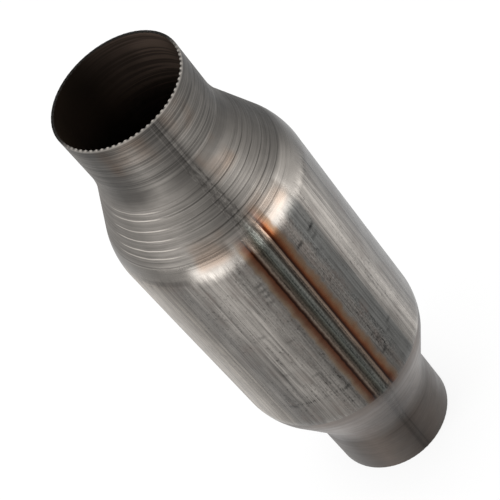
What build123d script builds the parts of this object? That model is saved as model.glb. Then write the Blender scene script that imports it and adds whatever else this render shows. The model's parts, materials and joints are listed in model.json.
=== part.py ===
from build123d import *
from math import acos, atan2, ceil, cos, degrees, hypot, pi, radians, sin, tan
import os

# A round catalytic converter in stainless steel, standing on its outlet rim.
# The flow axis is +Z, the origin is the centre of the outlet rim, and the casing's
# weld seam faces -Y. All lengths are in millimetres.

# Casing: one seam-welded tube, spun down to a neck at each end. Lengths run between the
# corners of the straight outline, and the bends are measured on the outside.
body_diameter = 101.6
neck_bore = 63.9
wall = 1.2
body_length = 138.0
cone_length = 41.0
neck_length = 36.0
neck_bend = 26.0
shoulder_bend = 26.0

# Weld bead, which stands proud along the body and is ironed flat where the tube is spun down,
# with its arc in degrees
bead_arc = 7.4
bead_height = 0.35
bead_tail = 4.0

# Mantle: the tube that holds the foil core in the casing
core_setback = 22.0
mantle_wall = 1.0
seat_clearance = 0.15

# Foil core: smooth and corrugated strips, stacked in pairs and wound together into an S
pair_count = 9
pair_height = 5.3
wave_pitch = 9.0
foil = 0.2
foil_clearance = 0.14
chord_sag = 0.15

# The last leg of a corrugated strip is cut short at the mantle, and left off where no more
# than this share of it would fit
shortest_leg = 0.1

body_radius = body_diameter / 2
neck_radius = neck_bore / 2 + wall
outlet_shoulder = neck_length + cone_length
inlet_shoulder = outlet_shoulder + body_length
inlet_corner = inlet_shoulder + cone_length
total_length = inlet_corner + neck_length
cone_angle = atan2(body_radius - neck_radius, cone_length)

# The bead reaches past each shoulder's bend to the straight cone, where its ends sink into the wall
shoulder_run = shoulder_bend * tan(cone_angle / 2)
bead_sink = wall / 2
bead_foot_radius = body_radius - (shoulder_run + bead_tail) * sin(cone_angle) - bead_sink * cos(cone_angle)
bead_foot_reach = (shoulder_run + bead_tail) * cos(cone_angle) - bead_sink * sin(cone_angle)

mantle_radius = body_radius - wall - seat_clearance
core_radius = mantle_radius - mantle_wall - seat_clearance
core_base = outlet_shoulder + core_setback
core_length = body_length - 2 * core_setback

# The winding turns about two eyes on the X axis, half a stack either side of the centre
eye = pair_count * pair_height / 2
wave_rise = pair_height / 2 - foil - foil_clearance

os.makedirs("parts", exist_ok=True)


def casing_line(inset):
    # Line of the casing from the outlet rim up to the inlet rim, at an inset from its outside
    corner_shift = inset * tan(cone_angle / 2)
    neck, body = neck_radius - inset, body_radius - inset
    corners = [
        (neck, neck_length + corner_shift, neck_bend + inset),
        (body, outlet_shoulder + corner_shift, shoulder_bend - inset),
        (body, inlet_shoulder - corner_shift, shoulder_bend - inset),
        (neck, inlet_corner - corner_shift, neck_bend + inset),
    ]
    leans = [0, cone_angle, 0, -cone_angle, 0]
    last = (neck, 0)
    for (radius, height, bend), before, after in zip(corners, leans, leans[1:]):
        run = bend * tan(cone_angle / 2)
        start = (radius - run * sin(before), height - run * cos(before))
        end = (radius + run * sin(after), height + run * cos(after))
        Line(last, start)
        Spline(start, end, tangents=[(sin(before), cos(before)), (sin(after), cos(after))])
        last = end
    Line(last, (neck, total_length))


def bead_line(height):
    # Line along the body at a height over its surface, between the bead's two sunken ends
    corner_reach = height * tan(cone_angle / 2)
    FilletPolyline(
        (bead_foot_radius, outlet_shoulder - bead_foot_reach),
        (body_radius + height, outlet_shoulder - corner_reach),
        (body_radius + height, inlet_shoulder + corner_reach),
        (bead_foot_radius, inlet_shoulder + bead_foot_reach),
        radius=shoulder_bend + height,
    )


# The bead is turned through its own small arc about -Y
bead_start = radians(-90 - bead_arc / 2)
bead_plane = Plane(
    origin=(0, 0, 0),
    x_dir=(cos(bead_start), sin(bead_start), 0),
    z_dir=(sin(bead_start), -cos(bead_start), 0),
)

with BuildPart() as casing:
    with BuildSketch(Plane.XZ):
        with BuildLine():
            casing_line(0)
            casing_line(wall)
            Line((neck_radius, 0), (neck_radius - wall, 0))
            Line((neck_radius, total_length), (neck_radius - wall, total_length))
        make_face()
    revolve(axis=Axis.Z)
    with BuildSketch(bead_plane):
        with BuildLine():
            bead_line(-bead_sink)
            bead_line(bead_height)
        make_face()
    revolve(axis=Axis.Z, revolution_arc=bead_arc)

casing.part.label = "casing"
export_step(casing.part, "parts/casing.step")


with BuildPart() as core_mantle:
    with BuildSketch(Plane.XY.offset(core_base)):
        Circle(mantle_radius)
        Circle(mantle_radius - mantle_wall, mode=Mode.SUBTRACT)
    extrude(amount=core_length)

core_mantle.part.label = "core_mantle"
export_step(core_mantle.part, "parts/core_mantle.step")


# Each strip of the winding is told by where it crosses the X axis between the two eyes.
# From there it runs up (side 1) and down (side -1), in half circles about the eyes in turn,
# and each half circle is wider than the last by the distance between the eyes.


def half_turn(crossing, side, number):
    # Centre on the X axis, radius and start angle of one half circle of a strip
    centre = -side * eye * (-1) ** number
    radius = eye + side * crossing + 2 * eye * number
    start = 180 * number if side > 0 else 180 * (number + 1)
    return centre, radius, start


def on_turn(centre, radius, angle):
    return centre + radius * cos(radians(angle)), radius * sin(radians(angle))


def smooth_side(crossing, side):
    # Chord by chord, the two faces of a smooth strip from its crossing out to the mantle.
    # The corners stand out by half of a chord's sag, so the middles dip in by no more than that.
    folds = []
    number = 0
    sweep = 180
    while sweep == 180:
        centre, radius, start = half_turn(crossing, side, number)
        radius += chord_sag / 2
        outer = radius + foil / 2
        if outer + eye > core_radius:
            sweep = degrees(acos((eye**2 + outer**2 - core_radius**2) / (2 * eye * outer)))
        chord_count = ceil(radians(sweep / 2) / acos(1 - chord_sag / radius))
        for chord in range(1, chord_count + 1):
            angle = start + sweep * chord / chord_count
            folds.append([on_turn(centre, radius + side * shift, angle) for shift in (foil / 2, -foil / 2)])
        number += 1
    return folds


def smooth_folds(crossing):
    middle = [(crossing + foil / 2, 0), (crossing - foil / 2, 0)]
    return smooth_side(crossing, -1)[::-1] + [middle] + smooth_side(crossing, 1)


def wave_point(crossing, side, walk, shift):
    # Point at a distance walked along a strip from its crossing, moved sideways by shift
    number = 0
    centre, radius, start = half_turn(crossing, side, number)
    while walk >= pi * radius:
        walk -= pi * radius
        number += 1
        centre, radius, start = half_turn(crossing, side, number)
    return on_turn(centre, radius + side * shift, start + degrees(walk / radius))


def wave_side(crossing, side, first):
    # Fold by fold, the two faces of a corrugated strip from its crossing out to the mantle,
    # where its last leg is cut short
    folds = []
    reach = 0
    number = first
    while True:
        rise = wave_rise if number % 2 == 0 else -wave_rise
        walk = number * wave_pitch / 2
        faces = [wave_point(crossing, side, walk, rise + shift) for shift in (foil / 2, -foil / 2)]
        last_reach = reach
        reach = max(hypot(*point) for point in faces)
        if reach > core_radius:
            kept = (core_radius - last_reach) / (reach - last_reach)
            if kept > shortest_leg:
                folds.append([
                    (x + kept * (next_x - x), y + kept * (next_y - y))
                    for (x, y), (next_x, next_y) in zip(folds[-1], faces)
                ])
            return folds
        folds.append(faces)
        number += 1


def wave_folds(crossing):
    # A strip that starts at an eye has one side only
    up = wave_side(crossing, 1, 0) if crossing < eye else []
    down = wave_side(crossing, -1, 1 if up else 0) if crossing > -eye else []
    return down[::-1] + up


def outline(folds):
    return Polyline(*[faces[0] for faces in folds], *[faces[1] for faces in reversed(folds)], close=True)


for number in range(pair_count):
    with BuildPart() as smooth_foil:
        with BuildSketch(Plane.XY.offset(core_base)):
            with BuildLine():
                outline(smooth_folds((number + 0.5) * pair_height - eye))
            make_face()
        extrude(amount=core_length)
    name = f"smooth_foil_{number + 1}"
    smooth_foil.part.label = name
    export_step(smooth_foil.part, f"parts/{name}.step")


for number in range(pair_count + 1):
    with BuildPart() as wave_foil:
        with BuildSketch(Plane.XY.offset(core_base)):
            with BuildLine():
                outline(wave_folds(number * pair_height - eye))
            make_face()
        extrude(amount=core_length)
    name = f"wave_foil_{number + 1}"
    wave_foil.part.label = name
    export_step(wave_foil.part, f"parts/{name}.step")
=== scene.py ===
import json
from math import atan2, cos, degrees, exp, pi, radians, sin, tan
import bmesh
import bpy
from mathutils import Matrix, Quaternion, Vector


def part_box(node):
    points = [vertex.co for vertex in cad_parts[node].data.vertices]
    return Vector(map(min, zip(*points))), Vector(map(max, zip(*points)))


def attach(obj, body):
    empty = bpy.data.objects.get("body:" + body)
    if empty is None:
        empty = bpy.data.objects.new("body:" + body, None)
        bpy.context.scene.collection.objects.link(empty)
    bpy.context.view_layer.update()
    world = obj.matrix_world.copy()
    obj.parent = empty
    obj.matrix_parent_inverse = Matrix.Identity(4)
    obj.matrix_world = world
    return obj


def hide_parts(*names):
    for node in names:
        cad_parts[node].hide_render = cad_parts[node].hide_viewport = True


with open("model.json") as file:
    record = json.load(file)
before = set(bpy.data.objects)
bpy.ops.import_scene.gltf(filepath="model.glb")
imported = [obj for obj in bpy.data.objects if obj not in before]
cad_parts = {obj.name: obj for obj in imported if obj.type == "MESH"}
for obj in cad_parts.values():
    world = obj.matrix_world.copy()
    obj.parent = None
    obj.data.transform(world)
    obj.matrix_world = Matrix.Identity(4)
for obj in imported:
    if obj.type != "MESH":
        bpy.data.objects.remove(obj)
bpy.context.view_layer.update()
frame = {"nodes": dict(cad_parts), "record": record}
print("frame loaded")


def bothWays(operation):
    # An operator between flows and numbers, and its reflected form
    def forward(flow, other):
        return flow.graph.math(operation, flow, other)

    def reflected(flow, other):
        return flow.graph.math(operation, other, flow)

    return forward, reflected


class Flow:
    # One output of a node, which can be used in sums
    __add__, __radd__ = bothWays("ADD")
    __sub__, __rsub__ = bothWays("SUBTRACT")
    __mul__, __rmul__ = bothWays("MULTIPLY")
    __truediv__, __rtruediv__ = bothWays("DIVIDE")

    def __init__(self, graph, socket):
        self.graph = graph
        self.socket = socket

    def __abs__(self):
        return self.graph.math("ABSOLUTE", self)

    def rise(self, start, end):
        # Softly from 0 at start to 1 at end
        return self.graph.add(
            "ShaderNodeMapRange",
            {"interpolation_type": "SMOOTHSTEP"},
            {"Value": self, "From Min": start, "From Max": end},
        )

    def span(self, start, full, last, end):
        # 0 up to start, 1 from full to last and 0 again from end
        return self.rise(start, full) * self.rise(end, last)

    def peak(self, centre, width):
        # 1 at a value, falling to 0 at a width either side
        return 1 - abs((self - centre) / width).rise(0, 1)


class Graph:
    # Nodes of a material or of the world
    def __init__(self, owner):
        owner.use_nodes = True
        self.owner = owner
        self.tree = owner.node_tree

    def add(self, kind, settings, inputs, out=0):
        node = self.tree.nodes.new(kind)
        for name, value in settings.items():
            if name == "stops":
                ramp = node.color_ramp
                for number, (spot, colour) in enumerate(value):
                    stop = ramp.elements[number] if number < 2 else ramp.elements.new(spot)
                    stop.position = spot
                    stop.color = colour
            else:
                setattr(node, name, value)
        for name, value in inputs.items():
            self.feed(node.inputs[name], value)
        return Flow(self, node.outputs[out])

    def feed(self, socket, value):
        if isinstance(value, Flow):
            self.tree.links.new(value.socket, socket)
        else:
            socket.default_value = value

    def math(self, operation, *values):
        return self.add("ShaderNodeMath", {"operation": operation}, dict(enumerate(values)))


class Metal(Graph):
    # Material of a piece, with x, y and z as its place in millimetres
    def __init__(self, name):
        super().__init__(bpy.data.materials.new(name))
        self.place = self.add("ShaderNodeTexCoord", {}, {}, "Object")
        self.x, self.y, self.z = (
            self.add("ShaderNodeSeparateXYZ", {}, {0: self.place}, out) * 1000 for out in range(3)
        )

    def mix(self, amount, low, high, blend="MIX"):
        # 6 and 7 are the colours that a Mix node takes, and 2 is the one that it gives
        settings = {"data_type": "RGBA", "blend_type": blend}
        return self.add("ShaderNodeMix", settings, {0: amount, 6: low, 7: high}, 2)

    def darken(self, colour, amount):
        # Amounts over 0 darken and amounts under 0 lighten
        level = 1 - amount
        level = self.add("ShaderNodeCombineColor", {}, {"Red": level, "Green": level, "Blue": level})
        return self.mix(1.0, colour, level, "MULTIPLY")

    def ramp(self, flow, low, high, stops, out="Color"):
        # Colours by the flow's value, at stops between low and high
        reach = high - low
        stops = [((spot - low) / reach, colour) for spot, colour in stops]
        return self.add("ShaderNodeValToRGB", {"stops": stops}, {0: (flow - low) / reach}, out)

    def noise(self, across, along, detail=2.0, roughness=0.5):
        # Waves for each millimetre across and along the axis
        scale = (across * 1000, across * 1000, along * 1000)
        place = self.add("ShaderNodeVectorMath", {"operation": "MULTIPLY"}, {0: self.place, 1: scale})
        inputs = {"Vector": place, "Scale": 1.0, "Detail": detail, "Roughness": roughness}
        return self.add("ShaderNodeTexNoise", {}, inputs)

    def bump(self, height, depth):
        # Depth in millimetres for a height of 1
        return self.add("ShaderNodeBump", {}, {"Strength": 1.0, "Distance": depth / 1000, "Height": height})

    def finish(self, **inputs):
        shader = self.tree.nodes["Principled BSDF"]
        for name, value in inputs.items():
            self.feed(shader.inputs[name.replace("_", " ")], value)
        return self.owner


def shade(red, green, blue):
    # Colour as a picture shows it, 0 to 255, in the linear values that shaders use
    channels = [value / 255 for value in (red, green, blue)]
    linear = [value / 12.92 if value <= 0.04045 else ((value + 0.055) / 1.055) ** 2.4 for value in channels]
    return linear + [1]


def grey(level, cast=(1, 1, 1)):
    return shade(*[level * share for share in cast])


def aimed(name, data, place, aim, roll=0.0):
    # New object at a place, looking at its aim and rolled about the view in degrees
    holder = bpy.data.objects.new(name, data)
    bpy.context.scene.collection.objects.link(holder)
    view = Vector(aim) - Vector(place)
    turn = view.to_track_quat("-Z", "Y") @ Quaternion((0, 0, 1), radians(roll))
    holder.matrix_world = Matrix.Translation(place) @ turn.to_matrix().to_4x4()
    return holder


# Camera, lamps and floor

camera = {
    "place": (-0.0648, -0.6164, 0.7712),
    "aim": (-0.00195, -0.01184, 0.17702),
    "roll": -40.5,  # degrees about the view
    "lens": 129.2,
    "sensor": 36,
}

eye = aimed("camera", bpy.data.cameras.new("camera"), camera["place"], camera["aim"], camera["roll"])
eye.data.lens = camera["lens"]
eye.data.sensor_width = camera["sensor"]
bpy.context.scene.camera = eye

lamps = {
    "top": {"place": (0.1, 0.35, 1.3), "aimHeight": 0.1, "size": (1.1, 1.1), "watts": 9},
    "left": {"place": (-0.9, -0.1, 0.6), "aimHeight": 0.15, "size": (0.5, 0.9), "watts": 4},
    "rightStrip": {"place": (0.168, -0.249, 0.13), "aimHeight": 0.2, "size": (0.2, 0.12), "watts": 0.18},
    "leftStrip": {"place": (-0.208, -0.216, 0.125), "aimHeight": 0.2, "size": (0.22, 0.11), "watts": 0.15},
}

for name, lamp in lamps.items():
    light = bpy.data.lights.new(name, "AREA")
    light.shape = "RECTANGLE"
    light.size, light.size_y = lamp["size"]
    light.energy = lamp["watts"]
    aimed(name, light, lamp["place"], (0, 0, lamp["aimHeight"])).visible_camera = False

studio = {"fill": 0.75, "floorSize": 4.0, "floorGrey": 0.92, "floorRoughness": 0.9, "floorGlow": 0.85}


def seenDirectly(graph):
    # 1 for camera, glossy and transmission rays
    rays = ("Is Camera Ray", "Is Glossy Ray", "Is Transmission Ray")
    isCamera, isGlossy, isTransmission = (graph.add("ShaderNodeLightPath", {}, {}, ray) for ray in rays)
    return graph.math("MAXIMUM", graph.math("MAXIMUM", isCamera, isGlossy), isTransmission)


def lightWorld():
    # White where it is seen directly, and dimmer as fill light
    world = bpy.data.worlds.new("studio")
    bpy.context.scene.world = world
    graph = Graph(world)
    strengths = {"Value": seenDirectly(graph), "To Min": studio["fill"], "To Max": 1.0}
    background = graph.tree.nodes["Background"]
    graph.feed(background.inputs["Color"], (1, 1, 1, 1))
    graph.feed(background.inputs["Strength"], graph.add("ShaderNodeMapRange", {}, strengths))


def paleFloor():
    # Paper that is near white where it is seen directly, and keeps the shadow
    graph = Graph(bpy.data.materials.new("paleFloor"))
    paper = graph.tree.nodes["Principled BSDF"]
    graph.feed(paper.inputs["Base Color"], [studio["floorGrey"]] * 3 + [1])
    graph.feed(paper.inputs["Roughness"], studio["floorRoughness"])
    glow = graph.add("ShaderNodeEmission", {}, {})
    share = seenDirectly(graph) * studio["floorGlow"]
    surface = graph.add("ShaderNodeMixShader", {}, {0: share, 1: Flow(graph, paper.outputs[0]), 2: glow})
    graph.feed(graph.tree.nodes["Material Output"].inputs["Surface"], surface)
    return graph.owner


lightWorld()
bm = bmesh.new()
bmesh.ops.create_grid(bm, x_segments=1, y_segments=1, size=studio["floorSize"] / 2)
floorMesh = bpy.data.meshes.new("floor")
bm.to_mesh(floorMesh)
bm.free()
floorMesh.materials.append(paleFloor())
floor = bpy.data.objects.new("floor", floorMesh)
bpy.context.scene.collection.objects.link(floor)
bpy.context.scene.view_settings.view_transform = "Standard"
print("camera, lamps and floor set")


# Casing: one tube, spun down to a neck at each end, with a rolled weld seam facing -Y

casing = {
    "wall": 0.0012,
    "neckLength": 0.036,
    "coneLength": 0.041,
    "neckBend": 0.038,
    "shoulderBend": 0.036,
    # rows and columns of the mesh, with the steps along the section
    "outerBendRows": 10,
    "innerBendRows": 6,
    "rowStep": 0.0026,
    "innerRowStep": 0.01,
    "furrowRowStep": 0.0004,
    "furrowRows": (38.0, 74.0),  # millimetres from the inlet rim
    "columns": 340,
    "seamFocus": 0.55,  # how strongly the columns gather at the seam, 0 to 1
    "sharpEdge": 40,  # degrees
    # What the rollers left on the outside, with drops from the inlet rim and heights in
    # millimetres, and angles from the seam and their widths in degrees. A zone is its two ends
    # and the stretch outside them over which it fades, and a rate is radians a millimetre.
    "rolledZone": (72, 214, 7),
    "seamReach": 14,
    # swells and, with heights under 0, grooves: angle, width, height and share of the waver
    "seamSwells": [
        (4.4, 1.2, 0.13, 0), (-1.7, 3.0, 0.17, 0), (-6.0, 0.6, 0.08, 0),
        (5.9, 0.45, -0.12, 0.3), (2.2, 0.35, -0.10, 0), (-7.2, 0.5, -0.15, 1),
    ],
    "ironedSwells": [(0.4, 0.6, 0.05), (3.0, 0.9, -0.05), (-2.3, 1.1, -0.06)],
    "waver": [(0.30, 1.31, 0), (0.22, 2.87, 1), (0.15, 0.37, 0)],  # its sines: degrees, rate and start
    "tracks": (1.1, 0.0, -1.2, -2.4, -3.5, -4.6),
    "trackWidth": 0.28,
    "trackDepth": 0.045,
    "trackSway": 0.12,
    "trackSwayRate": 0.21,
    "furrows": [  # drop and share of the full depth
        (42.8, 0.8), (46.4, 1), (51.7, 1), (56.6, 1), (61.3, 1), (65.1, 0.8), (70.2, 0.3),
    ],
    "furrowDepth": 0.08,
    "furrowWidth": 0.32,
    "furrowTilt": 0.25,
    "furrowChange": 0.25,  # share by which its depth changes round the cone
    "crestShift": 0.7,
    "crestWidth": 0.4,
    "crestShare": 0.35,
    "neckRingZone": (2, 34, 4),
    "neckRingRate": 2.45,
    "neckRingHeight": 0.035,
    "flatZone": (60, 225, 10),
    "flatCount": 5,
    "flatDepth": 0.04,
    # notches of the rims, deep on the inner edge alone, in millimetres
    "toothCount": 70,
    "toothDepth": 0.55,
    "outerToothShare": 0.15,
}

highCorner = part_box("casing")[1]
totalHeight = highCorner.z
bodyRadius = highCorner.x
bore = next(mount for mount in frame["record"]["mounts"] if mount["name"] == "inlet_neck")
neckRadius = bore["dims"]["r_mm"] / 1000 + casing["wall"]
lean = atan2(bodyRadius - neckRadius, casing["coneLength"])


def sectionCorners(inset):
    # Corners of the wall's line from rim to rim, each with its bend
    lift = inset * tan(lean / 2)
    neck, body = neckRadius - inset, bodyRadius - inset
    low, shoulder = casing["neckLength"] + lift, casing["neckLength"] + casing["coneLength"] + lift
    neckBend, shoulderBend = casing["neckBend"] + inset, casing["shoulderBend"] - inset
    return [
        (neck, 0, 0),
        (neck, low, neckBend),
        (body, shoulder, shoulderBend),
        (body, totalHeight - shoulder, shoulderBend),
        (neck, totalHeight - low, neckBend),
        (neck, totalHeight, 0),
    ]


def onOutside(radius, height):
    # Whether a point of the section lies nearer the outer line than the inner one
    corners = sectionCorners(casing["wall"] / 2)
    for (lowRadius, low, bend), (highRadius, high, nextBend) in zip(corners, corners[1:]):
        if low <= height <= high:
            return radius > lowRadius + (highRadius - lowRadius) * (height - low) / (high - low)
    return True


def dropOf(height):
    # Millimetres from the inlet rim
    return (totalHeight - height) * 1000


def swell(value, centre, width, height):
    return height * exp(-(((value - centre) / width) ** 2))


def between(value, low, high, soft):
    # 1 between two values, fading to 0 over a soft edge outside them
    edge = min((value - low) / soft + 1, (high - value) / soft + 1)
    edge = min(max(edge, 0), 1)
    return edge * edge * (3 - 2 * edge)


def seamRelief(angle, drop):
    # Rolled weld seam of the body, with the roller's tracks, and ironed seam of the ends
    waver = sum(reach * sin(drop * rate + start) for reach, rate, start in casing["waver"])
    body = 0
    for spot, width, height, sway in casing["seamSwells"]:
        body += swell(angle, spot + sway * waver, width, height)
    for track in casing["tracks"]:
        spot = track + casing["trackSway"] * sin(drop * casing["trackSwayRate"] + track * 3)
        body -= swell(angle, spot, casing["trackWidth"], casing["trackDepth"])
    ends = sum(swell(angle, *ironed) for ironed in casing["ironedSwells"])
    onBody = between(drop, *casing["rolledZone"])
    return body * onBody + ends * (1 - onBody)


def furrowRelief(angle, drop):
    # Furrows of the spinning roller on the inlet cone, each with a low crest above it. They
    # tilt and change in depth round the cone.
    height = 0
    change = casing["furrowChange"]
    for spot, share in casing["furrows"]:
        spot -= casing["furrowTilt"] * sin(radians(angle) + 0.6)
        depth = casing["furrowDepth"] * share
        depth *= 1 - change + change * sin(radians(2 * angle) + spot * 0.8)
        crest = depth * casing["crestShare"]
        height -= swell(drop, spot, casing["furrowWidth"], depth)
        height += swell(drop, spot - casing["crestShift"], casing["crestWidth"], crest)
    return height


def relief(angle, drop):
    # Height in millimetres of the worked surface over the plain tube, with the faint rings of
    # the inlet neck and flats of the body
    height = furrowRelief(angle, drop)
    if abs(angle) < casing["seamReach"]:
        height += seamRelief(angle, drop)
    rings = sin(drop * casing["neckRingRate"] + 0.4 * sin(radians(angle))) * casing["neckRingHeight"]
    flats = (1 + sin(radians(angle) * casing["flatCount"] + drop * 0.05)) * casing["flatDepth"]
    height += rings * between(drop, *casing["neckRingZone"])
    return height - flats * between(drop, *casing["flatZone"])


def worked(vert):
    # Move one point of the plain spun wall to its worked place
    radius = vert.co.xy.length
    angle = atan2(vert.co.x, -vert.co.y)
    angle -= casing["seamFocus"] * sin(angle)
    height = vert.co.z
    facing = vert.normal.xy.dot(vert.co.xy) / radius  # over 0 outwards
    if facing > 0.3:
        radius += relief(degrees(angle), dropOf(height)) / 1000
    tooth = (0.5 - 0.5 * cos(casing["toothCount"] * angle)) * casing["toothDepth"] / 1000
    tooth *= casing["outerToothShare"] if facing > 0 else 1
    rimReach = casing["wall"] / 4
    if height > totalHeight - rimReach:
        height -= tooth
    elif height < rimReach:
        height += tooth
    vert.co = (radius * sin(angle), -radius * cos(angle), height)


def drawSection(bm):
    # Closed line of the wall, its corners rounded to the bends
    outer, inner = sectionCorners(0), sectionCorners(casing["wall"])
    corners = outer + inner[::-1]
    verts = [bm.verts.new((radius, 0, height)) for radius, height, bend in corners]
    for vert, after in zip(verts, verts[1:] + verts[:1]):
        bm.edges.new((vert, after))
    for number, (vert, (radius, height, bend)) in enumerate(zip(verts, corners)):
        if bend:
            bmesh.ops.bevel(
                bm,
                geom=[vert],
                offset=bend * tan(lean / 2),
                offset_type="OFFSET",
                affect="VERTICES",
                segments=casing["outerBendRows"] if number < len(outer) else casing["innerBendRows"],
                profile=0.5,
                material=-1,
            )


def cutRows(bm):
    # Points along the section, closer where the furrows run
    first, last = casing["furrowRows"]
    for edge in list(bm.edges):
        radius = sum(vert.co.x for vert in edge.verts) / 2
        height = sum(vert.co.z for vert in edge.verts) / 2
        step = casing["innerRowStep"]
        if onOutside(radius, height):
            step = casing["furrowRowStep"] if first < dropOf(height) < last else casing["rowStep"]
        cuts = int(edge.calc_length() / step)
        if cuts:
            bmesh.ops.subdivide_edges(bm, edges=[edge], cuts=cuts)


def spinCasing():
    bm = bmesh.new()
    drawSection(bm)
    cutRows(bm)
    bmesh.ops.spin(
        bm,
        geom=bm.verts[:] + bm.edges[:],
        cent=(0, 0, 0),
        axis=(0, 0, 1),
        dvec=(0, 0, 0),
        angle=2 * pi,
        space=Matrix.Identity(4),
        steps=casing["columns"],
        use_merge=True,
        use_normal_flip=False,
        use_duplicate=False,
    )
    bmesh.ops.remove_doubles(bm, verts=bm.verts[:], dist=0.00001)
    bmesh.ops.recalc_face_normals(bm, faces=bm.faces[:])
    bm.normal_update()
    for face in bm.faces:
        onRim = abs(face.normal.z) > 0.8
        inward = face.normal.xy.dot(face.calc_center_median().xy) < 0
        face.material_index = 1 if inward and not onRim else 0
        face.smooth = not onRim
    for edge in bm.edges:
        edge.smooth = edge.calc_face_angle(0) < radians(casing["sharpEdge"])
    for vert in bm.verts:
        worked(vert)
    mesh = bpy.data.meshes.new("spunCasing")
    bm.to_mesh(mesh)
    bm.free()
    piece = bpy.data.objects.new("spunCasing", mesh)
    bpy.context.scene.collection.objects.link(piece)
    return piece


spun = spinCasing()
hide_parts("casing")
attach(spun, "root")
print("casing built:", len(spun.data.polygons), "faces")

# Finish of the casing's outside. Drops are millimetres from the inlet rim, angles are degrees
# from the seam, greys and colours go from 0 to 255, and two values are a stretch over which
# something begins or ends. A zone is four values: it fades in between the first two and out
# between the last two.

wholeBody = (60, 70, 214, 220)  # drops

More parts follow.
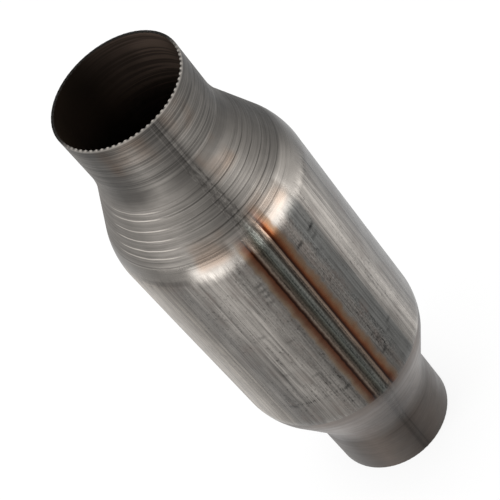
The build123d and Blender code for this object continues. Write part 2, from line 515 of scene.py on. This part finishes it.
casingFinish = {
    # Greys round each part of the casing, by angle. They were first read off averages of the
    # photograph and then tuned, so they hold some of its light and shade.
    "inletNeck": [
        (-84, 103), (-62, 75), (-46, 80), (-30, 107), (-16, 88), (-6, 76), (10, 98), (24, 92), (46, 92),
        (63, 60), (80, 76),
    ],
    "inletCone": [
        (-84, 110), (-60, 104), (-36, 121), (-18, 109), (-6, 92), (1, 98), (8, 122), (20, 142), (44, 111),
        (62, 84), (80, 58),
    ],
    "body": [
        (-84, 156), (-76, 138), (-66, 119), (-58, 97), (-48, 104), (-38, 122), (-29, 130), (-24, 124),
        (-18, 101), (13, 86), (18, 104), (25, 84), (33, 133), (41, 157), (54, 103), (63, 70), (72, 61),
        (86, 72),
    ],
    "outletCone": [
        (-84, 78), (-60, 88), (-46, 106), (-18, 94), (0, 69), (14, 83), (32, 97), (43, 76), (50, 64),
        (84, 70),
    ],
    "outletNeck": [
        (-84, 76), (-62, 69), (-36, 93), (-14, 75), (0, 60), (14, 71), (38, 74), (62, 65), (84, 62),
    ],
    "back": 96,
    "skew": 0.03,  # degrees that the body's greys turn in each millimetre
    # drops over which one part becomes the next
    "toCone": (34, 43),
    "toBody": (73.5, 84.5),
    "toOutletCone": (211.6, 213.6),
    "toOutletNeck": (244, 262),
    # casts, as shares of red, green and blue, and the warmer left side and the cooler stripe of painted
    # dark reflection
    "warm": (1.02, 0.985, 0.945),
    "outletWarm": (1.045, 0.975, 0.925),
    "cool": (0.985, 1.0, 0.985),
    "flankZone": (-102, -90, -62, -50),
    "flankTint": (255, 249, 240),
    "darkReflectionZone": (17, 20, 29, 32),
    "darkReflectionGrey": 84,
    "darkReflectionShare": 0.7,
    # wear of the body: how much each grain darkens it, and where it changes
    "wear": {"streaks": 2.0, "dashes": 1.2, "hairs": 1.5, "mottle": 1.0},
    "pitDepth": 0.35,
    "calm": (182, 200),  # drops over which the wear grows weaker
    "calmShare": 0.3,
    "speckled": [((0, 10, 190, 207), (12, 13.5, 21, 22.5), 1.4), (wholeBody, (-25, -22, -13, -10), 0.6)],
    "dusk": (90, 205),  # drops over which the front darkens
    "duskZone": (-54, -44, 34, 44),
    "duskShare": 0.34,
    "duskMiddle": 0.45,
    "drawn": [  # long drawn lines: angle, width and how dark
        (56.7, 1.3, 0.42), (53.6, 1.4, -0.1), (50.6, 1.9, 0.26), (46.6, 0.8, 0.12), (37, 1.2, 0.05),
        (-46.8, 1.0, 0.16), (-54.5, 0.9, 0.1), (-59.5, 1.2, 0.16),
    ],
    "girthLine": (191, 1.6),
    "girthLineZone": (-65, -62, -12, -9),
    "girthLineDepth": 0.12,
    "backWear": (85, 110),  # angles over which it grows weaker towards the back
    "backWearShare": 0.35,
    # painted highlights, lighter, or with a share under 0 painted shade, darker: drops, angles and share
    "paintedHighlightsAndShade": [
        ((64, 69, 81, 86), (1, 8, 30, 37), 0.38),
        ((68.5, 74.5, 79.5, 85.5), (-45, -37, -16, -8), 0.5),
        ((64, 68, 79, 83), (29, 33, 44, 72), 1),
        ((211.5, 213.5, 218, 220), (-74, -60, 44, 58), 0.12),
        ((150, 206, 212, 215), (60, 66, 80, 86), 0.7),
        ((76.7, 78.2, 79.8, 81.3), (-82, -74, -50, -42), -0.3),
    ],
    "bloom": (140, 126, 118),
    "bloomShare": 0.2,
    # rings and scored lines of the spun ends
    "ringsEnd": (75, 67),
    "smoothZone": (31, 32.5, 40.5, 42),
    "smoothShare": 0.8,
    "outletRingShare": 0.18,
    "ringDepth": 0.35,
    "fineRingDepth": 1.8,
    "coneZone": (39, 43, 66, 70),
    "coneEase": 0.7,  # how much shallower the fine rings are on the inlet cone
    "scuffDepth": 0.45,
    "scored": [((1, 3, 31, 33), (-4, 4, 44, 52), 0.3), ((1, 3, 31, 33), (-52, -44, 0, 8), 0.12)],
    # patches warmed by heat, and the share of it that the outlet end has all over
    "heated": [
        ((-3, 4, 15, 22), (-58, -46, -20, -8), 1),
        ((28, 33, 44, 49), (2, 8, 27, 33), 1),
        ((59, 64, 73, 78), (-38, -32, 27, 33), 1),
        ((-3, 3, 14, 20), (0, 8, 26, 34), 1),
    ],
    "heatedOutlet": 0.4,
    "heatTint": (255, 232, 216),
    "heatShare": 0.75,
    # crests of the furrows, with painted shade near the seam and painted highlights far left of it
    "crestWidth": 0.5,
    "crestRaggedness": 1.4,
    "shadedCrests": (-38, -15, 36, 80),
    "crestShadeShare": 0.5,
    "highlightedCrests": (-90, -78, -46, -34),
    "crestHighlightShare": 0.75,
    "crestHighlightGrey": 182,
    "dirtLine": (264.6, 0.8),
    "dirtLineZone": (-30, -22, 26, 34),
    # colours across the seam on the body, by angle, read and tuned in the same way
    # the near black lines at the weld's toes are heat tint and partly painted shade
    "seam": [
        (-13.5, (98, 90, 82)), (-11.3, (97, 82, 68)), (-9.3, (80, 54, 40)), (-7.9, (68, 39, 25)),
        (-7.3, (28, 10, 4)), (-6.8, (28, 10, 4)), (-6.3, (52, 36, 26)), (-5.5, (100, 89, 80)),
        (-4.6, (66, 58, 51)), (-2.4, (50, 48, 42)), (-0.6, (68, 70, 66)), (1.0, (84, 84, 80)),
        (1.8, (46, 44, 40)), (2.8, (58, 52, 47)), (4.2, (98, 86, 76)), (5.0, (96, 80, 69)),
        (5.35, (26, 8, 3)), (5.9, (30, 9, 3)), (6.6, (62, 29, 13)), (7.8, (90, 55, 34)),
        (9.6, (94, 73, 56)), (13.5, (92, 86, 80)),
    ],
    "seamZone": (-13.5, -11, 10.5, 13),
    "beadZone": (-6, -5, 4, 5),
    "rightFringe": (6.2, 9),
    "rightFringeWidth": 6,
    "leftFringe": (-8, -10),
    "leftFringeWidth": 4,
    "seamStart": (60, 75),
    "seamEnd": (214, 212.5),
    "seamHaze": (230, 213),  # drops over which the rest of its tint fades
    "hazeShare": 0.15,
    # drops over which a painted highlight on the seam fades out, and its share
    "seamHighlight": (85, 76),
    "seamHighlightShare": 0.6,
    "seamDusk": (201, 213),
    "seamDuskShare": 0.3,
    # a painted highlight on the seam at the shoulder: drops, angles and share
    "shoulderSeamHighlight": [((65, 69, 79, 83), (-16, -13, 7, 10), 0.6)],
    # how dark the flat seam is on the spun ends, by angle
    "trace": [
        (-9, 0.0), (-4.6, 0.02), (-2.6, 0.2), (-1.2, 0.17), (0.5, 0.04), (1.7, 0.06), (2.8, 0.24),
        (4.2, 0.06), (8, 0.0),
    ],
    "traceShare": 1.6,
    # short marks: drop, angle and how dark, and their half height and half width
    "ticks": [
        (98.2, 26.5, 1), (98.6, 14.8, 0.8), (103.5, 25, 0.5), (112, 22, 0.3), (98.6, -15.6, 0.6),
        (102.8, -15.6, 0.6), (107, -15.4, 0.5), (112, -16, 0.4), (182.6, 28, 0.6), (182.6, 16.5, 0.3),
        (191.8, 14.4, 0.7), (191.8, -15.4, 0.7), (192.5, -48, 0.6), (172.5, -24, 0.4), (186, 24, 0.3),
        (131, -33, 0.4), (142, -22, 0.3), (164, -37, 0.3),
    ],
    "tickSize": (2.0, 4.2),
    "tickShare": 0.9,
    # inlet rim, with painted shade at the back and a painted highlight at the front: drops over which
    # it begins, and the millimetres of y over which it turns
    "darkRim": (1.1, 0.5),
    "darkRimSide": (-16, 6),
    "darkRimShare": 0.87,
    "rimLine": (1.3, 0.9),
    "rimLineShare": 0.3,
    "paleRim": (0.9, 0.5),
    "paleRimSide": (2, -14),
    "paleRimShare": 0.5,
    "rimGrey": 146,
    "notchInset": (0.3, 0.9),
    "notchShare": 0.85,
    # roughness of the inlet end, and how much smoother or duller other parts are
    "roughness": 0.5,
    "polishStart": (64, 73),
    "polish": 0.23,
    "shoulderZone": (67, 71, 80, 84),
    "shoulderPolish": 0.03,
    "outletDullness": 0.09,
    "dullSides": (62, 100),
    "sideDullness": 0.14,
    "reliefDepth": 0.16,  # millimetres
}

# Grains of the same steel: waves in each millimetre across and along the axis, detail, roughness
casingGrain = {
    "streaks": (0.5, 0.004, 4, 0.6),
    "dashes": (0.7, 0.04, 3, 0.6),
    "hairs": (1.6, 0.012, 2, 0.5),
    "mottle": (0.12, 0.06, 4, 0.6),
    "specks": (1.2, 0.75, 1, 0.5),
    "pits": (0.9, 0.5, 1, 0.5),
    "pitFields": (0.07, 0.03, 1, 0.5),
    "shoulderEdge": (0.15, 0.02, 2, 0.5),
    "rings": (0.008, 0.55, 3, 0.6),
    "fineRings": (0.012, 1.5, 2, 0.5),
    "scores": (0.012, 1.1, 1, 0.5),
    "scuffs": (0.1, 0.25, 3, 0.5),
    "heatClouds": (0.06, 0.06, 2, 0.5),
    "ragged": (0.05, 0.05, 3, 0.5),
    "wander": (0.04, 0.35, 3, 0.5),
    "fringe": (0.1, 0.09, 3, 0.6),
    "beadLines": (1.5, 0.01, 3, 0.5),
    "beadDots": (1.8, 0.06, 2, 0.5),
}


class CasingSteel(Metal):
    # Steel of the casing's outside
    def __init__(self):
        super().__init__("casingSteel")
        self.angle = self.math("ARCTAN2", self.x, self.y * -1) * (180 / pi)
        self.drop = totalHeight * 1000 - self.z
        # each grain goes from -0.5 to 0.5
        self.grain = {name: self.noise(*waves) - 0.5 for name, waves in casingGrain.items()}
        self.onBody = (self.drop + self.grain["shoulderEdge"] * 3).rise(*casingFinish["toBody"])
        self.onOutletCone = self.drop.rise(*casingFinish["toOutletCone"])
        self.flat = self.onBody * (1 - self.onOutletCone)
        self.ringed = self.drop.rise(*casingFinish["ringsEnd"])
        self.ringed = self.ringed + self.onOutletCone * casingFinish["outletRingShare"]
        smooth = self.drop.span(*casingFinish["smoothZone"]) * casingFinish["smoothShare"]
        self.ringed = self.ringed * (1 - smooth)
        # the seam's place wanders, more on its left, and its tint has a fringe on both sides
        fringe = self.angle.rise(*casingFinish["rightFringe"]) * casingFinish["rightFringeWidth"]
        fringe = fringe - self.angle.rise(*casingFinish["leftFringe"]) * casingFinish["leftFringeWidth"]
        wander = self.grain["wander"] * (0.4 + self.angle.rise(0, -6) * 0.6)
        self.seamAngle = self.angle + wander + self.grain["fringe"] * fringe
        self.onBead = self.seamAngle.span(*casingFinish["beadZone"])
        self.beadGrain = self.grain["beadLines"] * 1.3 + self.grain["beadDots"] * 0.6

    def patches(self, name):
        # Sum of soft patches of the finish
        return sum(
            self.drop.span(*drops) * self.angle.span(*angles) * share
            for drops, angles, share in casingFinish[name]
        )

    def allRound(self, name, cast="warm", skew=0):
        # Greys that run round the casing, with painted reflections and shade, to the plain grey at the back
        back = casingFinish["back"]
        levels = [(-150, back)] + casingFinish[name] + [(150, back)]
        stops = [(spot, grey(level, casingFinish[cast])) for spot, level in levels]
        return self.ramp(self.angle + skew, -180, 180, stops)

    def greys(self):
        flank = self.angle.span(*casingFinish["flankZone"])
        flank = self.mix(flank, (1, 1, 1, 1), shade(*casingFinish["flankTint"]))
        skew = (130 - self.drop) * casingFinish["skew"]
        body = self.mix(1.0, self.allRound("body", skew=skew), flank, "MULTIPLY")
        onCone = self.drop.rise(*casingFinish["toCone"])
        onOutletNeck = self.drop.rise(*casingFinish["toOutletNeck"])
        colour = self.mix(onCone, self.allRound("inletNeck"), self.allRound("inletCone"))
        colour = self.mix(self.onBody, colour, body)
        colour = self.mix(self.onOutletCone, colour, self.allRound("outletCone", "outletWarm"))
        colour = self.mix(onOutletNeck, colour, self.allRound("outletNeck", "outletWarm"))
        # a cooler stripe of painted dark reflection along the body
        darkReflection = self.angle.span(*casingFinish["darkReflectionZone"]) * self.flat * casingFinish["darkReflectionShare"]
        return self.mix(darkReflection, colour, grey(casingFinish["darkReflectionGrey"], casingFinish["cool"]))

    def wear(self, colour):
        # Streaks, pits and drawn lines of the body, and its front lighter near the inlet and darker towards
        # the outlet
        drop, angle, grain = self.drop, self.angle, self.grain
        pits = grain["pits"].rise(0.1, 0.18) * grain["pitFields"].rise(-0.08, 0.05)
        worn = pits * casingFinish["pitDepth"]
        worn = worn + sum(grain[name] * share for name, share in casingFinish["wear"].items())
        worn = worn * (1 - drop.rise(*casingFinish["calm"]) * casingFinish["calmShare"])
        worn = worn + grain["specks"] * self.patches("speckled")
        dusk = drop.rise(*casingFinish["dusk"]) - casingFinish["duskMiddle"]
        worn = worn + dusk * angle.span(*casingFinish["duskZone"]) * casingFinish["duskShare"]
        for spot, width, depth in casingFinish["drawn"]:
            worn = worn + angle.peak(spot, width) * (depth + grain["streaks"] * 0.5)
        girthLine = drop.peak(*casingFinish["girthLine"]) * angle.span(*casingFinish["girthLineZone"])
        worn = worn + girthLine * (casingFinish["girthLineDepth"] + grain["hairs"])
        atBack = abs(angle).rise(*casingFinish["backWear"])
        return self.darken(colour, worn * self.flat * (1 - atBack * casingFinish["backWearShare"]))

    def highlightsAndBloom(self, colour):
        # Painted highlights and a painted shade on the shoulders and body, and a pale bloom on the body
        colour = self.darken(colour, 0 - self.patches("paintedHighlightsAndShade"))
        bloom = (self.grain["mottle"] * 1.5 + self.grain["streaks"]).rise(0.0, 0.4)
        bloom = bloom * self.flat * casingFinish["bloomShare"]
        return self.mix(bloom, colour, shade(*casingFinish["bloom"]))

    def spinMarks(self, colour):
        # Rings and scuffs of the spun ends, and the scored lines of the inlet neck
        grain = self.grain
        onCone = self.drop.span(*casingFinish["coneZone"])
        fineDepth = casingFinish["fineRingDepth"] - onCone * casingFinish["coneEase"]
        marks = (grain["rings"] * casingFinish["ringDepth"] + grain["fineRings"] * fineDepth) * self.ringed
        marks = marks + grain["scuffs"] * casingFinish["scuffDepth"] * (1 - self.flat)
        lines = grain["scores"].rise(-0.05, -0.13) - 0.2
        return self.darken(self.darken(colour, marks), lines * self.patches("scored"))

    def heat(self, colour):
        heated = self.patches("heated") + self.onOutletCone * casingFinish["heatedOutlet"]
        heated = heated * self.grain["heatClouds"].rise(-0.25, 0.2) * casingFinish["heatShare"]
        return self.mix(heated, colour, shade(*casingFinish["heatTint"]), "MULTIPLY")

    def crests(self, colour):
        # Painted shade and highlights on the furrows' crests, and a line of dirt at the outlet neck
        angle, ragged = self.angle, self.grain["ragged"]
        place = self.drop + ragged * casingFinish["crestRaggedness"]
        crest = self.drop.peak(*casingFinish["dirtLine"]) * angle.span(*casingFinish["dirtLineZone"]) * 0.5
        for spot, share in casing["furrows"]:
            crest = crest + place.peak(spot, casingFinish["crestWidth"]) * (share + ragged * 1.6)
        # the crests get painted shade near the seam and painted highlights far left of it; the dirt line
        # darkens with them
        dark = crest * angle.span(*casingFinish["shadedCrests"]) * casingFinish["crestShadeShare"]
        crestHighlight = crest * angle.span(*casingFinish["highlightedCrests"]) * casingFinish["crestHighlightShare"]
        colour = self.darken(colour, dark)
        return self.mix(crestHighlight, colour, grey(casingFinish["crestHighlightGrey"], casingFinish["warm"]))

    def seam(self, colour):
        # The rolled weld on the body, with painted highlights at the shoulder, and its flat trace on the
        # spun ends
        drop, place, grain = self.drop, self.seamAngle, self.grain
        start = drop + grain["wander"] * 8 - self.angle.rise(0, -5) * 6
        haze = casingFinish["hazeShare"]
        end = drop.rise(*casingFinish["seamEnd"]) * (1 - haze) + drop.rise(*casingFinish["seamHaze"]) * haze
        rolled = start.rise(*casingFinish["seamStart"]) * end

        band = self.ramp(place, -15, 15, [(spot, shade(*tone)) for spot, tone in casingFinish["seam"]])
        rough = (self.beadGrain * 2.3 + grain["specks"] * 1.5) * self.onBead + grain["mottle"] * 0.8
        # a painted highlight on the seam near the shoulder
        light = drop.rise(*casingFinish["seamHighlight"]) * casingFinish["seamHighlightShare"]
        dusk = drop.rise(*casingFinish["seamDusk"]) * casingFinish["seamDuskShare"]
        band = self.darken(band, rough - light + dusk)
        colour = self.mix(place.span(*casingFinish["seamZone"]) * rolled, colour, band)

        depths = [(spot, (0, 0, 0, depth)) for spot, depth in casingFinish["trace"]]
        trace = self.ramp(place, -12, 12, depths, "Alpha") * casingFinish["traceShare"]
        trace = trace + self.beadGrain * 0.9 * self.onBead * (1 - self.onOutletCone)
        # lighter where the painted highlight on the seam at the shoulder lies
        return self.darken(colour, trace * (1 - rolled) - self.patches("shoulderSeamHighlight"))

    def ticks(self, colour):
        high, wide = casingFinish["tickSize"]
        drop, angle = self.drop + self.grain["streaks"] * 3, self.angle + self.grain["hairs"] * 4
        for spotDrop, spotAngle, depth in casingFinish["ticks"]:
            tick = drop.peak(spotDrop, high) * angle.peak(spotAngle, wide)
            colour = self.darken(colour, tick * depth * casingFinish["tickShare"])
        return colour

    def rim(self, colour):
        # Painted shade on the inlet rim at its back, and a painted highlight at its front with painted
        # shade in its notches
        drop = self.drop
        dark = drop.rise(*casingFinish["darkRim"]) * self.y.rise(*casingFinish["darkRimSide"])
        line = drop.peak(*casingFinish["rimLine"]) * casingFinish["rimLineShare"]
        colour = self.darken(colour, dark * casingFinish["darkRimShare"] + line)
        rimHighlightMask = drop.rise(*casingFinish["paleRim"]) * self.y.rise(*casingFinish["paleRimSide"])
        paintedRimHighlight = grey(casingFinish["rimGrey"], casingFinish["warm"])
        colour = self.mix(rimHighlightMask * casingFinish["paleRimShare"], colour, paintedRimHighlight)
        radius = self.math("SQRT", self.x * self.x + self.y * self.y)
        inner = radius.rise(*(neckRadius * 1000 - inset for inset in casingFinish["notchInset"]))
        teeth = self.math("COSINE", self.angle * (casing["toothCount"] * pi / 180))
        return self.darken(colour, rimHighlightMask * inner * teeth.rise(0.3, -0.6) * casingFinish["notchShare"])

    def roughness(self):
        polished = self.drop.rise(*casingFinish["polishStart"]) * casingFinish["polish"]
        polished = polished + self.drop.span(*casingFinish["shoulderZone"]) * casingFinish["shoulderPolish"]
        dull = self.onOutletCone * casingFinish["outletDullness"]
        dull = dull + abs(self.angle).rise(*casingFinish["dullSides"]) * casingFinish["sideDullness"]
        uneven = self.grain["mottle"] * 0.15 + self.grain["rings"] * (1 - self.flat) * 0.2
        return casingFinish["roughness"] - polished + dull + uneven

    def fineRelief(self):
        grain = self.grain
        height = (grain["rings"] + grain["fineRings"] * 0.8) * self.ringed
        height = height + (grain["hairs"] + grain["streaks"]) * 0.35 * self.flat
        return self.bump(height + self.beadGrain * 0.8 * self.onBead, casingFinish["reliefDepth"])


def casingSteel():
    steel = CasingSteel()
    colour = steel.greys()
    for step in (steel.wear, steel.highlightsAndBloom, steel.spinMarks, steel.heat, steel.crests):
        colour = step(colour)
    colour = steel.rim(steel.ticks(steel.seam(colour)))
    return steel.finish(
        Base_Color=colour,
        Metallic=1.0,
        Roughness=steel.roughness(),
        Normal=steel.fineRelief(),
    )


# Inside of the casing, with painted light where light reaches through the inlet and painted shade elsewhere

boreFinish = {
    "litX": (-10, 26),
    "litY": (-14, 16),
    "litSteel": (122, 105, 94),
    "shadedSteel": (56, 46, 38),
    "ringShade": (30, 25, 22),
    "soot": (28, 24, 22),
    "sootShare": 0.5,
    "metallic": 0.7,
    "specular": 0.2,
    "reliefDepth": 0.12,
}


def boreSteel():
    metal = Metal("boreSteel")
    rings = metal.noise(0.01, 0.5, 2)
    soot = metal.noise(0.03, 0.02, 2).rise(0.45, 0.7) * boreFinish["sootShare"]
    lit = metal.x.rise(*boreFinish["litX"]) * metal.y.rise(*boreFinish["litY"])
    colour = metal.mix(lit, shade(*boreFinish["shadedSteel"]), shade(*boreFinish["litSteel"]))
    ringed = rings.rise(0.56, 0.44) * (0.05 + lit * 0.55)
    colour = metal.mix(ringed, colour, shade(*boreFinish["ringShade"]))
    return metal.finish(
        Base_Color=metal.mix(soot, colour, shade(*boreFinish["soot"])),
        Metallic=boreFinish["metallic"],
        Roughness=0.5 - rings * 0.1,
        Specular_IOR_Level=boreFinish["specular"],
        Normal=metal.bump(rings * lit, boreFinish["reliefDepth"]),
    )


# Core: the mantle, and foils dulled by their coating. A noise is waves in each millimetre
# across and along the axis, detail and roughness, and turn is where dark turns to light.

coating = {"noise": (0.3, 0.3, 4, 0.6), "turn": (0.35, 0.65), "metallic": 0.3, "roughness": 0.65}
coreFinish = {
    "core_mantle": {
        "material": "mantleSteel",
        "light": (118, 112, 104),
        "dark": (84, 78, 72),
        "noise": (0.02, 1.2, 3, 0.5),
        "turn": (0.3, 0.7),
        "metallic": 0.9,
        "roughness": 0.45,
    },
    "smooth_foil": {"material": "smoothFoil", "light": (142, 132, 118), "dark": (112, 102, 90), **coating},
    "wave_foil": {"material": "waveFoil", "light": (132, 122, 108), "dark": (100, 91, 80), **coating},
}
coreReliefDepth = 0.05


def coreSteel(finish):
    metal = Metal(finish["material"])
    dust = metal.noise(*finish["noise"])
    return metal.finish(
        Base_Color=metal.mix(dust.rise(*finish["turn"]), shade(*finish["dark"]), shade(*finish["light"])),
        Metallic=finish["metallic"],
        Roughness=finish["roughness"],
        Normal=metal.bump(dust, coreReliefDepth),
    )


spun.data.materials.append(casingSteel())
spun.data.materials.append(boreSteel())
for start, finish in coreFinish.items():
    steel = coreSteel(finish)
    for name, node in frame["nodes"].items():
        if name.startswith(start):
            for slot in node.material_slots:
                slot.material = steel
print("materials set")
